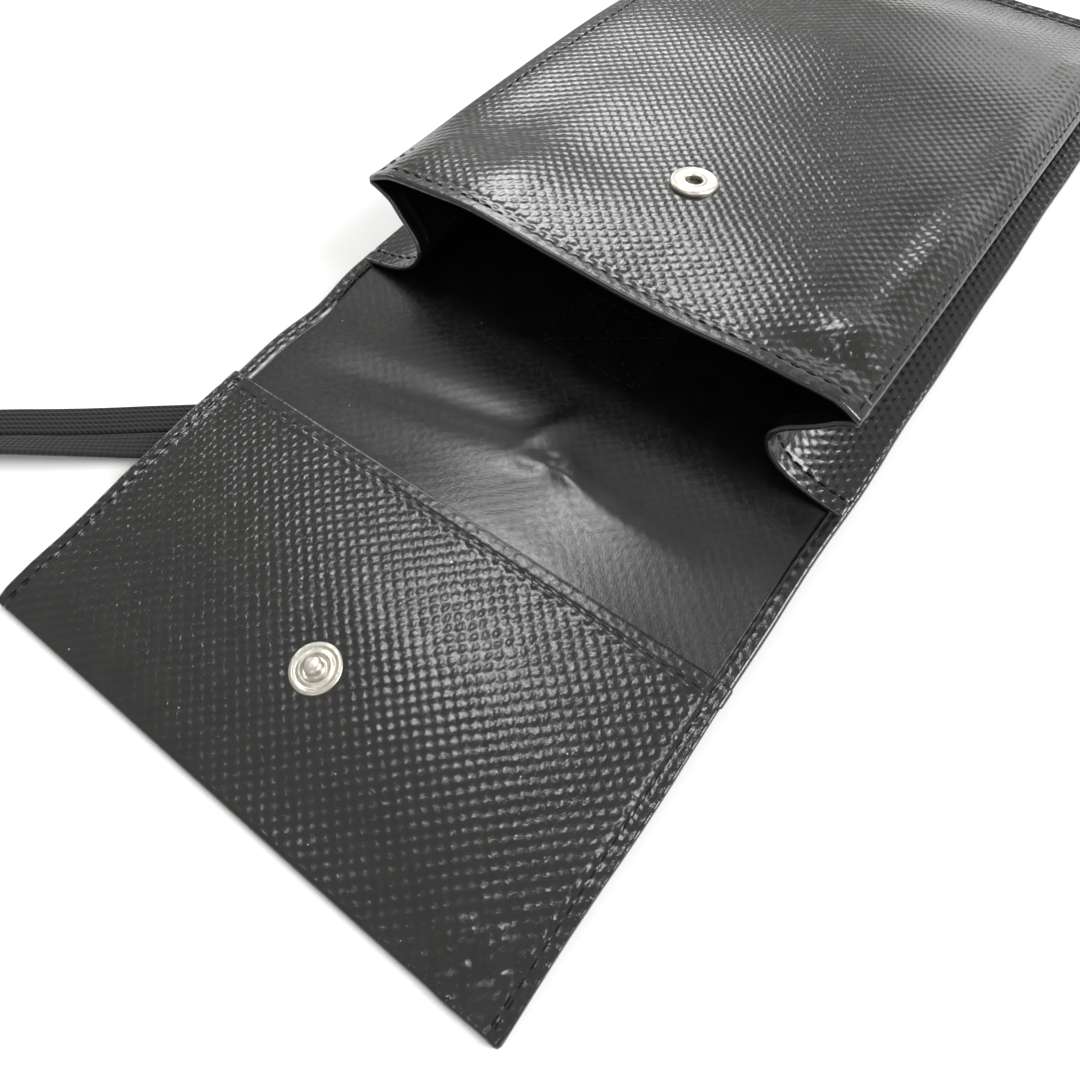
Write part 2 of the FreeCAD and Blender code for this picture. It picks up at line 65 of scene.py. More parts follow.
# Sizes of the part, as in its CAD source.
WIDTH = 130.0
BODY_LENGTH = 196.0
FLAP_LENGTH = 110.0
FACING_LENGTH = 68.5
FOLD_REACH = 18.9
FOLD_HEIGHT = 4.3
CLOTH = 0.75
SIDE_HEM = 3.4
EDGE_HEM = 4.4
FRONT_START = 3.5
SEAM_REACH = 192.0
BACK_LIFT = 4.4
SNAP_REACH = 44.6
SOCKET_RADIUS = 5.5
STUD_RADIUS = 5.3
SIDE_INSET = 2.6
HEM_INSET = 3.3
STITCH_PITCH = 3.3
CORD_WIDTH = 7.4
CORD_THICKNESS = 1.9
TIE_WIDTH = 5.0
CLOSED_TILT = 0.632  # degrees that the front panel still slopes when it lies flattened
JOINT_SLACK = 0.01  # degrees that the joint's range goes past that

# Sizes of the visual pieces only.
FACING_TOP = 1.95
BOTTOM_INSET = 3.2
STITCH_LENGTH = 2.6
THREAD = 0.30
THREAD_FLATNESS = 0.85
STITCH_SIDES = 8
WEAVE_ACROSS = 1.58
WEAVE_ALONG = 1.49
CORD_RIBS = 6
EDGE_ANGLES = (math.pi / 4, math.pi / 2, 3 * math.pi / 4)
END_ANGLES = (math.pi / 6, math.pi / 3, math.pi / 2)
FOLD_HALF = 9
ROW_SPACING = 0.66

joints = {joint["name"]: joint for joint in frame["joints"]}
fold_y, fold_z = (value / MM for value in joints["flap_fold"]["pos_m"][1:])
fold_z -= FOLD_HEIGHT
seam_y, seam_z = (value / MM for value in joints["front_flatten"]["pos_m"][1:])
MOUTH_LINE = (FLAP_LENGTH - BODY_LENGTH) / 2
BACK_TILT = -math.asin((fold_z - BACK_LIFT) / FOLD_REACH)
FLAP_REACH = FLAP_LENGTH - FOLD_REACH
FLAP_TILT = math.asin(fold_z / FLAP_REACH)
FRONT_TURN = joints["front_flatten"]["range_deg"][1] - JOINT_SLACK
FRONT_TILT = -math.radians(FRONT_TURN + CLOSED_TILT) + BACK_TILT
FACING_START = FACING_LENGTH - FLAP_LENGTH
FREE_EDGE = -FLAP_LENGTH
FOLD_SPAN = ((0, (fold_y + FOLD_HALF) * MM, 0), (0, (fold_y - FOLD_HALF) * MM, 0))


class Panel:
    """A flat panel's own frame, turned about X."""

    def __init__(self, y, z, tilt, start=0.0):
        self.y, self.z, self.start = y, z, start
        self.cos, self.sin = math.cos(tilt), math.sin(tilt)

    def at(self, x, v, w):
        """Points of the assembly's frame, from places on the panel."""
        x, v, w = np.broadcast_arrays(*(np.asarray(n, float) for n in (x, v, w)))
        along = v - self.start
        y = self.y + along * self.cos - w * self.sin
        z = self.z + along * self.sin + w * self.cos
        return np.stack([x, y, z], -1)

    def normal(self):
        """The way out of the panel's upper face."""
        return Vector((0, -self.sin, self.cos))


back = Panel(MOUTH_LINE, BACK_LIFT, BACK_TILT)
flap = Panel(fold_y, fold_z, FLAP_TILT, -FOLD_REACH)
front = Panel(seam_y, seam_z, FRONT_TILT, SEAM_REACH)


def step(value, low, high):
    """0 below low, 1 above high, smooth between them."""
    t = np.clip((np.asarray(value, float) - low) / (high - low), 0, 1)
    return t * t * (3 - 2 * t)


def hill(x, y, centre, radii, turn=0.0):
    """A smooth round hill of height 1."""
    dx, dy = x - centre[0], y - centre[1]
    cos, sin = math.cos(math.radians(turn)), math.sin(math.radians(turn))
    far_x, far_y = (dx * cos + dy * sin) / radii[0], (dy * cos - dx * sin) / radii[1]
    return np.exp(-far_x ** 2 - far_y ** 2)


def unit(vectors):
    """The same directions, each of length 1."""
    return vectors / np.linalg.norm(vectors, axis=-1, keepdims=True)


def waves(x, y, seed, size):
    """Gentle unevenness of about -1 to 1, repeatable, with bumps of about the given size."""
    random = np.random.default_rng(seed)
    total = 0.0
    for _ in range(5):
        angle, phase = random.uniform(0, math.pi), random.uniform(0, 2 * math.pi)
        length = size * random.uniform(0.75, 1.6)
        run = x * math.cos(angle) + y * math.sin(angle)
        total = total + np.sin(2 * math.pi * run / length + phase)
    return total / 3.0


def run_lengths(points):
    """How far along a line each of its points lies."""
    return np.concatenate([[0], np.cumsum(np.linalg.norm(np.diff(points, axis=0), axis=1))])


def stitch_valley(across, along, pitch=STITCH_PITCH):
    """The groove that a row of stitches pulls into the cloth, deeper at the needle's holes."""
    holes = 0.6 + 0.4 * np.cos(2 * math.pi * along / pitch)
    return np.exp(-(across / 0.5) ** 2) * holes


# ---------------------------------------------------------------- meshes

def finish_mesh(name, material, points, faces, cloth=None, edge=None):
    """An object from points in millimetres, with the cloth's own coordinates as attributes."""
    mesh = bpy.data.meshes.new(name)
    mesh.from_pydata((np.asarray(points, float) * MM).tolist(), [], faces)
    if cloth is not None:
        made = mesh.attributes.new("cloth", "FLOAT_VECTOR", "POINT")
        made.data.foreach_set("vector", np.asarray(cloth, np.float32).ravel())
    if edge is not None:
        made = mesh.attributes.new("edge", "FLOAT", "POINT")
        made.data.foreach_set("value", np.asarray(edge, np.float32).ravel())
    work = bmesh.new()
    work.from_mesh(mesh)
    bmesh.ops.remove_doubles(work, verts=work.verts, dist=0.00001)
    bmesh.ops.recalc_face_normals(work, faces=work.faces)
    work.to_mesh(mesh)
    work.free()
    mesh.polygons.foreach_set("use_smooth", [True] * len(mesh.polygons))
    mesh.materials.append(material)
    piece = bpy.data.objects.new(name, mesh)
    bpy.context.scene.collection.objects.link(piece)
    return piece


def ring_faces(rings, size, first=0):
    """Quads between closed rings of points."""
    faces = []
    for ring in range(rings - 1):
        base = first + ring * size
        for index in range(size):
            following = (index + 1) % size
            faces.append((base + index, base + following,
                          base + size + following, base + size + index))
    return faces


def grid_normals(grid):
    """The way out of a grid of points, at each of them."""
    return unit(np.cross(np.gradient(grid, axis=1), np.gradient(grid, axis=0)))


def cloth_piece(name, material, grid, thickness, cloth, sides, edge=None, flip=False):
    """A sheet with real thickness and rounded edges.

    grid holds its upper face, rows along v.  sides gives how much of the weave each face shows.
    """
    rows, columns = grid.shape[:2]
    normal = grid_normals(grid) * (-1 if flip else 1)
    thick = np.broadcast_to(np.asarray(thickness, float), (rows, columns))[..., None]
    under = grid - normal * thick
    arcs = {}
    for column, inner in ((0, 1), (-1, -2)):
        way = unit(grid[:, column] - grid[:, inner])
        middle = (grid[:, column] + under[:, column]) / 2
        half = thick[:, column] / 2
        arcs[column] = [middle + half * (math.cos(a) * normal[:, column] + math.sin(a) * way)
                        for a in EDGE_ANGLES]
    parts = [grid] + [arc[:, None] for arc in arcs[-1]] + [under[:, ::-1]]
    parts += [arc[:, None] for arc in arcs[0][::-1]]
    rings = np.concatenate(parts, axis=1)
    face_up, face_down = (np.broadcast_to(side, (rows, columns)) for side in sides)
    up = np.concatenate([cloth, face_up[..., None]], axis=2)
    down = np.concatenate([cloth, face_down[..., None]], axis=2)
    wear = np.zeros((rows, columns)) if edge is None else edge
    turns = len(EDGE_ANGLES)
    marks = np.concatenate([up] + [up[:, -1:]] * turns + [down[:, ::-1]] + [up[:, :1]] * turns, axis=1)
    full = [np.ones((rows, 1))] * turns
    worn = np.concatenate([wear] + full + [wear[:, ::-1] * 0] + full, axis=1)
    lists = [round_ends(rings, marks, worn, columns, 0), (rings, marks, worn),
             round_ends(rings, marks, worn, columns, -1)]
    rings, marks, worn = (np.concatenate([item[part] for item in lists]) for part in range(3))
    faces = ring_faces(len(rings), rings.shape[1])
    return finish_mesh(name, material, rings.reshape(-1, 3), faces, marks.reshape(-1, 3),
                       worn.ravel())


def round_ends(rings, marks, worn, columns, row):
    """The rings that round off the sheet's first or last edge.

    Each point of a ring has a twin on the sheet's other face, and the two meet at the edge.
    """
    neighbour = 1 if row == 0 else -2
    size = rings.shape[1]
    twin = (2 * columns + len(EDGE_ANGLES) - 1 - np.arange(size)) % size
    ring = rings[row]
    middle = (ring + ring[twin]) / 2
    way = unit(middle - (rings[neighbour] + rings[neighbour][twin]) / 2)
    half = np.linalg.norm(ring - middle, axis=1, keepdims=True)
    made = [middle + (ring - middle) * math.cos(a) + way * half * math.sin(a) for a in END_ANGLES]
    if row == 0:
        made.reverse()
    count = len(made)
    return np.array(made), np.array([marks[row]] * count), np.array([worn[row] * 0 + 1] * count)


def tube(path, across, upward, width, height):
    """Rings of an oval tube along a path, tapering to its ends."""
    rings = []
    count = len(path)
    for index, (centre, side, rise) in enumerate(zip(path, across, upward)):
        taper = 0.55 if index in (0, count - 1) else 1.0
        for k in range(STITCH_SIDES):
            angle = 2 * math.pi * k / STITCH_SIDES
            rings.append(centre + side * (math.cos(angle) * width * taper / 2)
                         + rise * (math.sin(angle) * height * taper / 2))
    return rings


STITCH_ARCH = np.linspace(0, 1, 7)
STITCH_RISE = -0.34 + 0.42 * np.sin(math.pi * STITCH_ARCH) ** 0.5


def add_stitch(made, surface, across, along, pitch):
    """One stitch more in made (points, faces, cloth): out of a surface, along it and back in."""
    points, faces, cloth = made
    path = surface(across, along, STITCH_RISE)
    upward = surface(across, along, STITCH_RISE + 1.0) - path
    run = unit(np.gradient(path, axis=0))
    side = unit(np.cross(run, upward))
    first = len(points)
    last = first + STITCH_SIDES * len(STITCH_ARCH) - 1
    points += tube(path, side, np.cross(side, run), THREAD, THREAD * THREAD_FLATNESS)
    faces += ring_faces(len(STITCH_ARCH), STITCH_SIDES, first)
    faces.append(tuple(first + k for k in range(STITCH_SIDES)))
    faces.append(tuple(last - k for k in range(STITCH_SIDES)))
    cloth += [(k / STITCH_SIDES, t * pitch, 0) for t in STITCH_ARCH for k in range(STITCH_SIDES)]


def stitching(name, body, seams, blend_at=None):
    """Thread stitches along seams: each is a surface, its start and its end on that surface."""
    made = [], [], []
    shown = STITCH_LENGTH / STITCH_PITCH
    for surface, start, end in seams:
        start, end = np.array(start, float), np.array(end, float)
        length = np.linalg.norm(end - start)
        count = max(1, round(length / STITCH_PITCH))
        for number in range(count):
            first = (number + (1 - shown) / 2) / count
            spots = start + np.outer(first + STITCH_ARCH * shown / count, end - start)
            add_stitch(made, surface, spots[:, 0], spots[:, 1], length / count)
    piece = finish_mesh(name, THREAD_BLACK, *made)
    if blend_at:
        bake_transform(piece)
    else:
        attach(piece, body)
    if body == "front":
        squash_with_front(piece)
    return piece


def squash_with_front(piece):
    """Gives the front panel or one of its seams a mesh of its own."""
    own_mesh(piece)


def squash_with_gussets(piece):
    """Gives a gusset or its stitches a mesh of its own."""
    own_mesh(piece)


def lathe(name, material, profile, centre, normal, segments=96):
    """A turned piece from (radius, height) points, its axis along a normal."""
    turn = Vector((0, 0, 1)).rotation_difference(normal).to_matrix()
    points = []
    for radius, height in profile:
        for k in range(segments):
            angle = 2 * math.pi * k / segments
            local = Vector((radius * math.cos(angle), radius * math.sin(angle), height))
            points.append(Vector(centre) + turn @ local)
    return finish_mesh(name, material, [tuple(p) for p in points],
                       ring_faces(len(profile), segments))


def rounded(profile, radius=0.12, steps=4):
    """A profile with its inner corners rounded off."""
    points = [Vector(p) for p in profile]
    made = [points[0]]
    for before, corner, after in zip(points, points[1:], points[2:]):
        cut = min(radius, (before - corner).length * 0.45, (after - corner).length * 0.45)
        start = corner + (before - corner).normalized() * cut
        end = corner + (after - corner).normalized() * cut
        for k in range(steps + 1):
            t = k / steps
            made.append(start * (1 - t) ** 2 + corner * 2 * t * (1 - t) + end * t * t)
    made.append(points[-1])
    return [tuple(p) for p in made]


# ---------------------------------------------------------------- materials

class Nodes:
    """Short ways to build a material's node tree."""

    def __init__(self, name):
        self.material = bpy.data.materials.new(name)
        self.material.use_nodes = True
        self.nodes, self.links = self.material.node_tree.nodes, self.material.node_tree.links
        self.shader = self.nodes["Principled BSDF"]

    def add(self, kind, settings=None, **sockets):
        """A node with its settings, and a value or a link for each named socket."""
        node = self.nodes.new(kind)
        for key, value in (settings or {}).items():
            setattr(node, key, value)
        self.fill(node, sockets)
        return node

    def fill(self, node, sockets):
        for key, value in sockets.items():
            self.put(node.inputs[key.replace("_", " ")], value)

    def finish(self, **sockets):
        """The material, with the shader's own sockets set or linked."""
        self.fill(self.shader, sockets)
        return self.material

    def put(self, socket, value):
        """Links an output to a socket, or sets the socket's own value."""
        if isinstance(value, bpy.types.NodeSocket):
            self.links.new(value, socket)
        else:
            socket.default_value = value

    def math(self, operation, *values):
        node = self.nodes.new("ShaderNodeMath")
        node.operation = operation
        for socket, value in zip(node.inputs, values):
            self.put(socket, value)
        return node.outputs[0]

    def spread(self, value, low, high, to_low=0.0, to_high=1.0):
        """A smooth step from one value to another, between low and high."""
        node = self.add("ShaderNodeMapRange", {"interpolation_type": "SMOOTHSTEP"})
        for socket, item in zip(node.inputs, (value, low, high, to_low, to_high)):
            self.put(socket, item)
        return node.outputs[0]

    def attribute(self, name):
        """One of the attributes that finish_mesh stores."""
        return self.add("ShaderNodeAttribute", {"attribute_name": name})

    def split(self, vector):
        """A vector's three parts."""
        return self.add("ShaderNodeSeparateXYZ", Vector=vector).outputs

    def noise(self, vector, scale, detail=3.0, roughness=0.5):
        node = self.add("ShaderNodeTexNoise", Vector=vector, Scale=scale, Detail=detail,
                        Roughness=roughness)
        return node.outputs["Fac"]

    def mix(self, factor, first, second):
        node = self.add("ShaderNodeMix", {"data_type": "RGBA"})
        self.put(node.inputs["Factor"], factor)
        self.put(node.inputs[6], first)
        self.put(node.inputs[7], second)
        return node.outputs[2]

    def bump(self, height, distance, normal=None):
        node = self.add("ShaderNodeBump", Height=height, Distance=distance)
        if normal is not None:
            self.put(node.inputs["Normal"], normal)
        return node.outputs["Normal"]


def grey(value, warm=0.0):
    """A grey, a little towards yellow where warm is above zero."""
    return (value * (1 + warm), value, value * (1 - warm), 1.0)


def make_tarpaulin():
    """Black coated tarpaulin: the weave shows through on its outer face, less on the inner."""
    tree = Nodes("tarpaulin")
    place = tree.attribute("cloth").outputs["Vector"]
    u, v, face = tree.split(place)
    wobble = tree.noise(place, 0.16, 2.0)
    jitter = tree.noise(place, 0.7, 2.0)
    u = tree.math("ADD", u, tree.math("MULTIPLY", tree.math("SUBTRACT", wobble, 0.5), 1.2))
    u = tree.math("ADD", u, tree.math("MULTIPLY", tree.math("SUBTRACT", jitter, 0.5), 1.1))
    wave_u = tree.math("COSINE", tree.math("MULTIPLY", u, math.pi / WEAVE_ACROSS))
    wave_v = tree.math("COSINE", tree.math("MULTIPLY", v, math.pi / WEAVE_ALONG))
    check = tree.math("MULTIPLY", tree.math("MULTIPLY", wave_u, wave_v), 0.65)
    floats = tree.math("MULTIPLY", tree.math("ABSOLUTE", wave_u), 0.35)
    uneven = tree.spread(tree.noise(place, 0.35), 0.3, 0.7, 0.7, 1.15)
    knots = tree.math("MULTIPLY", tree.math("ADD", check, floats), uneven)
    share = tree.math("ADD", tree.math("MULTIPLY", face, 0.86), 0.14)
    normal = tree.bump(tree.math("MULTIPLY", knots, share), 0.000080)
    normal = tree.bump(tree.noise(place, 2.2, 4.0, 0.6), 0.000034, normal)
    edge = tree.attribute("edge").outputs["Fac"]
    cracks = tree.math("MULTIPLY", tree.noise(place, 1.1, 2.0), edge)
    normal = tree.bump(cracks, 0.00006, normal)
    shade = tree.mix(tree.spread(wobble, 0.35, 0.65), grey(0.0035, 0.03), grey(0.0060, 0.04))
    dust = tree.add("ShaderNodeTexVoronoi", Vector=place, Scale=0.22).outputs["Distance"]
    rare = tree.spread(tree.noise(place, 0.08, 1.0), 0.56, 0.6)
    speck = tree.math("MULTIPLY", tree.spread(dust, 0.02, 0.05, 1.0, 0.0), rare)
    rough = tree.spread(tree.noise(place, 0.9), 0.3, 0.7, 0.16, 0.23)
    inner = tree.math("MULTIPLY", tree.math("SUBTRACT", 1.0, face), 0.04)
    return tree.finish(Base_Color=tree.mix(speck, shade, grey(0.35, 0.03)), Normal=normal,
                       Roughness=tree.math("ADD", rough, inner), Specular_IOR_Level=0.75)


def make_thread():
    """Black sewing thread with its twist."""
    tree = Nodes("sewing_thread")
    across, along, _ = tree.split(tree.attribute("cloth").outputs["Vector"])
    turn = tree.math("MULTIPLY", across, 2 * math.pi)
    run = tree.math("MULTIPLY", along, 2 * math.pi / 0.55)
    ply = tree.math("SINE", tree.math("ADD", turn, run))
    return tree.finish(Normal=tree.bump(ply, 0.00004), Base_Color=grey(0.004), Roughness=0.6,
                       Specular_IOR_Level=0.2)


def make_nickel():
    """Nickel plate, worn and a little tarnished."""
    tree = Nodes("nickel")
    place = tree.add("ShaderNodeTexCoord").outputs["Object"]
    worn = tree.noise(place, 900.0, 4.0, 0.6)
    tint = tree.mix(tree.spread(worn, 0.35, 0.75), (0.66, 0.64, 0.58, 1), (0.48, 0.45, 0.39, 1))
    return tree.finish(Base_Color=tint, Roughness=tree.spread(worn, 0.3, 0.8, 0.3, 0.48),
                       Normal=tree.bump(tree.noise(place, 2600.0), 0.00001), Metallic=1.0)


def make_spring_wire():
    """Brownish wire of the socket's spring."""
    tree = Nodes("spring_wire")
    place = tree.add("ShaderNodeTexCoord").outputs["Object"]
    rough = tree.spread(tree.noise(place, 3000.0), 0.3, 0.7, 0.3, 0.5)
    return tree.finish(Roughness=rough, Base_Color=(0.35, 0.29, 0.2, 1), Metallic=1.0)


def make_braid():
    """Matt black flat braid: slanting plaits on each rib, with painted shade in their hollows."""
    tree = Nodes("neck_cord_braid")
    place = tree.attribute("cloth").outputs["Vector"]
    across, along, _ = tree.split(place)
    rib = tree.math("FRACT", tree.math("MULTIPLY", across, CORD_RIBS))
    slant = tree.math("MULTIPLY", tree.math("ABSOLUTE", tree.math("SUBTRACT", rib, 0.5)), 5.0)
    run = tree.math("MULTIPLY", along, 2 * math.pi / 1.35)
    plait = tree.math("SINE", tree.math("ADD", run, slant))
    normal = tree.bump(tree.noise(place, 6.0), 0.00006, tree.bump(plait, 0.00009))
    # Painted shade: the base colour is darker in the plaits' hollows and lighter on their crests.
    tint = tree.mix(tree.spread(plait, -0.6, 0.8), grey(0.002), grey(0.007))
    return tree.finish(Normal=normal, Base_Color=tint, Roughness=0.75, Sheen_Weight=0.05)


def make_tie():
    """Black hook-and-loop tape."""
    tree = Nodes("cord_tie_tape")
    place = tree.add("ShaderNodeTexCoord").outputs["Object"]
    loops = tree.add("ShaderNodeTexVoronoi", Vector=place, Scale=1600.0).outputs["Distance"]
    return tree.finish(Normal=tree.bump(loops, 0.0002), Roughness=0.9,
                       Base_Color=tree.mix(loops, grey(0.03), grey(0.012)))


def make_floor_material():
    """Pale paper, almost white."""
    tree = Nodes("pale_floor")
    place = tree.add("ShaderNodeTexCoord").outputs["Object"]
    tint = tree.mix(tree.noise(place, 3.0), (0.90, 0.90, 0.90, 1), (0.94, 0.94, 0.94, 1))
    return tree.finish(Base_Color=tint, Roughness=0.7, Specular_IOR_Level=0.2)


TARPAULIN = make_tarpaulin()
THREAD_BLACK = make_thread()
NICKEL = make_nickel()
SPRING_WIRE = make_spring_wire()
BRAID = make_braid()
TIE_TAPE = make_tie()


# ---------------------------------------------------------------- the long strip

def strip_base(x, v, w):
    """Points over the strip's underside, with the bend at the fold rounded."""
    turned = 1 - step(v, -FOLD_REACH - 8, -FOLD_REACH + 8)[..., None]
    return back.at(x, v, w) * (1 - turned) + flap.at(x, v, w) * turned


# The line of the crease across the spine: (x, v).
CREASE = [(-60, -31.0), (-48, -29.0), (-33, -25.8), (-17, -22.3), (2, -18.5), (10, -20.5),
          (21, -23.4), (29, -24.0), (40, -24.2), (60, -24.0)]
# Small hills and hollows where the crease puckers: (height, centre, radii, turn).
PUCKER = [(0.55, (4.2, -14.8), (2.6, 9.0), -22), (0.45, (5.3, -23.6), (3.6, 2.4), 20),
          (-0.4, (9.6, -20.6), (1.3, 1.3), 0), (0.25, (14.5, -22.6), (4.5, 1.3), -8)]


def drape(x, v):
    """How far the open flap and its spine stand above their flat places."""
    across, along = zip(*CREASE)
    off = v - np.interp(x, across, along)
    left, right = 1 - step(x, -8, 6), step(x, 4, 16)
    fade = step(x, -56, -30) * (1 - step(x, 26, 60))
    valley = -0.55 * np.exp(-((off - 1.5) / 4.6) ** 2) * left
    ridge = 0.35 * np.exp(-((off + 6.0) / 5.5) ** 2) * (left + right) * 0.7
    crest = 0.75 * np.exp(-((off + 0.5) / 4.2) ** 2) * right
    pucker = sum(height * hill(x, v, *place) for height, *place in PUCKER)
    spine = 0.45 * waves(x, v, 3, 62) * step(-v, 2, 16) * (1 - step(-v, 38, 46))
    open_flap = 0.42 * (1 + waves(x, v, 8, 74)) * step(-v, 34, 60) * (1 - step(-v, 100, 110))
    return (valley + ridge + crest) * fade + pucker + spine + open_flap


def hem_rise(x):
    """1 on the side hems, 0 between them."""
    return step(np.abs(x), WIDTH / 2 - SIDE_HEM - 0.25, WIDTH / 2 - SIDE_HEM + 0.1)


def edge_waver(x, v):
    """How far the strip's and the facing's side edges stray from straight, alike on both."""
    left, right = (0.22 * waves(v, v * 0, seed, 26) for seed in (5, 6))
    return np.where(x < 0, left, right) * step(np.abs(x), 40, WIDTH / 2)


def strip_top(x, v, w=0.0):
    """The strip's upper face: the inner face of the cloth, with the hems folded over it."""
    hem = hem_rise(x)
    groove = stitch_valley(np.abs(x) - (WIDTH / 2 - SIDE_INSET), v)
    rough = 0.05 * waves(x, v, 21, 5.5) * hem
    height = CLOTH * (1 + hem) - 0.16 * groove + rough + drape(x, v)
    waist = 2.0 * hill(0, v, (0, -17.5), (1, 9.0)) * step(-x, 35, 60)
    return strip_base(x + waist, v, height + w)


def columns_across(half, hem, middle=1.25):
    """Places across a panel, close together at its hems."""
    outer = np.linspace(0, hem + 0.6, 16)
    inner = np.linspace(hem + 0.6, half, round(half / middle))[1:]
    left = np.concatenate([outer, inner]) - half
    return np.concatenate([left, -left[-2::-1]])


def make_strip():
    """Back, spine and the flap's outer layer: one piece of cloth from the bottom to the flap."""
    half = WIDTH / 2
    across = columns_across(half - CLOTH, SIDE_HEM - CLOTH)
    along = np.arange(1.4 - FLAP_LENGTH, BODY_LENGTH - 0.7, ROW_SPACING)
    x, v = np.meshgrid(across, along)
    grid = strip_top(x, v)
    grid[..., 0] += edge_waver(x, v)
    thickness = CLOTH * (1 + hem_rise(x))
    cloth = np.stack([x, v], -1)
    edge = step(np.abs(x), half - 1.5, half - 0.6)
    piece = cloth_piece("strip_back_and_flap", TARPAULIN, grid, thickness, cloth,
                        (hem_rise(x) * 0.7, 1.0), edge)
    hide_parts("back_panel", "flap_outer_panel")
    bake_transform(piece)


def facing_top(x, v, w=0.0):
    """The facing's upper face: raised over its own hem and over the strip's side hems."""
    half = WIDTH / 2
    hem = np.maximum(1 - step(FACING_START - v, EDGE_HEM - 0.6, EDGE_HEM + 0.9),
                     step(np.abs(x), half - SIDE_HEM - 1.0, half - SIDE_HEM + 0.4))
    side_row = stitch_valley(np.abs(x) - (half - SIDE_INSET), v)
    hem_row = stitch_valley(FACING_START - HEM_INSET - v, x) * step(half - np.abs(x), 1.5, 3)
    uneven = 0.05 * waves(x, v, 31, 6.0) * hem
    height = FACING_TOP + 0.16 * hem - 0.20 * side_row - 0.24 * hem_row + uneven + drape(x, v)
    dip = 0.16 * hill(x, v, (0, -SNAP_REACH - 2 * FOLD_REACH), (7, 7))
    crumple = 0.24 * (1 + waves(x, v, 52, 4.6)) * hill(x, v, (56, -102), (8, 9))
    return flap.at(x, v, height - dip + crumple + w)


def make_facing():
    """The strip's end, turned back over the flap as a facing and hemmed towards the pouch."""
    half = WIDTH / 2
    across = columns_across(half - 0.4, SIDE_HEM)
    first = FREE_EDGE + FACING_TOP / 2
    along = np.concatenate([np.linspace(first, first + 3, 12)[:-1],
                            np.arange(first + 3, FACING_START - 7, ROW_SPACING),
                            np.linspace(FACING_START - 7, FACING_START - CLOTH, 26)])
    x, v = np.meshgrid(across, along)
    grid = facing_top(x, v)
    roll = 1 - step(v, first + 0.2, first + 2.4)
    tucked = 0.6 * roll * step(np.abs(x), half - 4, half - 0.4)
    grid[..., 0] += edge_waver(x, v) - np.sign(x) * tucked
    hem = step(v, FACING_START - EDGE_HEM - 0.2, FACING_START - EDGE_HEM + 0.2)
    thickness = CLOTH + (FACING_TOP - CLOTH) * roll + (CLOTH - 0.1) * hem
    cloth = np.stack([x, v - 0.4], -1)
    edge = np.maximum.reduce([step(np.abs(x), half - 1.3, half - 0.6),
                              step(v, FACING_START - 1.6, FACING_START),
                              1 - step(v, FREE_EDGE, FREE_EDGE + 2.0)])
    band = 0.55 * step(v, FACING_START - EDGE_HEM, FACING_START - HEM_INSET)
    piece = cloth_piece("flap_facing_sheet", TARPAULIN, grid, thickness, cloth,
                        (1 - band, 0.0), edge)
    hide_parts("flap_facing")
    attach(piece, "flap")


# ---------------------------------------------------------------- the front panel

# Each rim's place across (x) and above the front panel's flat place (w), at stations along it.
RIM_STATIONS = (3, 34, 68, 103, 140, 172, 190)
LEFT_RIM = {"x": (-60.0, -61.4, -62.6, -63.2, -62.6, -61.4, -60.4),
            "w": (-3.6, -2.0, 0.0, 2.0, 2.3, 1.2, 0.0)}
RIGHT_RIM = {"x": (59.9, 60.1, 60.1, 60.0, 60.0, 60.0, 60.0),
             "w": (-3.9, -3.4, -2.4, -1.2, -0.2, 0.0, 0.0)}
# The mouth edge's rise and fall across the panel.
MOUTH_X = (-60, -38.5, -26.5, -7.8, 12, 30, 37, 49.4, 60)
MOUTH_W = (0.0, 1.0, 1.2, 0.0, -1.5, -1.3, -0.5, -1.2, 0.0)
# Width of each rim's pinched edge, which holds its stitches.
FLANGE = 1.6


def smooth_line(at, places, values):
    """Values between given places, on a smooth curve."""
    at = np.asarray(at, float)
    total = 0.0
    for shift in (-1.0, -0.5, 0.0, 0.5, 1.0):
        reach = (places[-1] - places[0]) / len(places) * 0.5
        total = total + np.interp(at + shift * reach, places, values)
    return total / 5.0


def front_crown(x, v):
    """The front panel's bulge above its flat place, without the rims."""
    length = 4.6 * step(v, 35, 150) * (1 - step(v, 150, 191))
    mouth = smooth_line(x, MOUTH_X, MOUTH_W) * (1 - step(v, 5, 42))
    near_snap = 1 - hill(x, v, (0, SNAP_REACH), (16, 16))
    soft = 0.55 * waves(x, v, 14, 58) * step(v, 2, 20) * (1 - step(v, 165, 190))
    left_ridge = 0.9 * hill(x, v, (-33, 30), (9, 34), 4)
    right_bump = 1.5 * hill(x, v, (50.5, 22), (6, 6), -20) - 1.3 * hill(x, v, (49, 13.2), (8, 3.2), 8)
    shoulder = (1.5 + 0.6 * np.sin(v / 7.5)) * hill(x, 0 * v, (53.6, 0), (3.6, 1))
    shoulder = shoulder * step(v, 22, 38) - 0.6 * hill(x, v, (45.5, 50), (4, 26))
    shoulder = shoulder * (1 - step(v, 150, 180))
    return length + mouth + (soft + left_ridge) * near_snap + right_bump + shoulder


def rim_place(rim, v):
    """Where a rim runs at v: across, and above the front panel's flat place."""
    return smooth_line(v, RIM_STATIONS, rim["x"]), smooth_line(v, RIM_STATIONS, rim["w"])


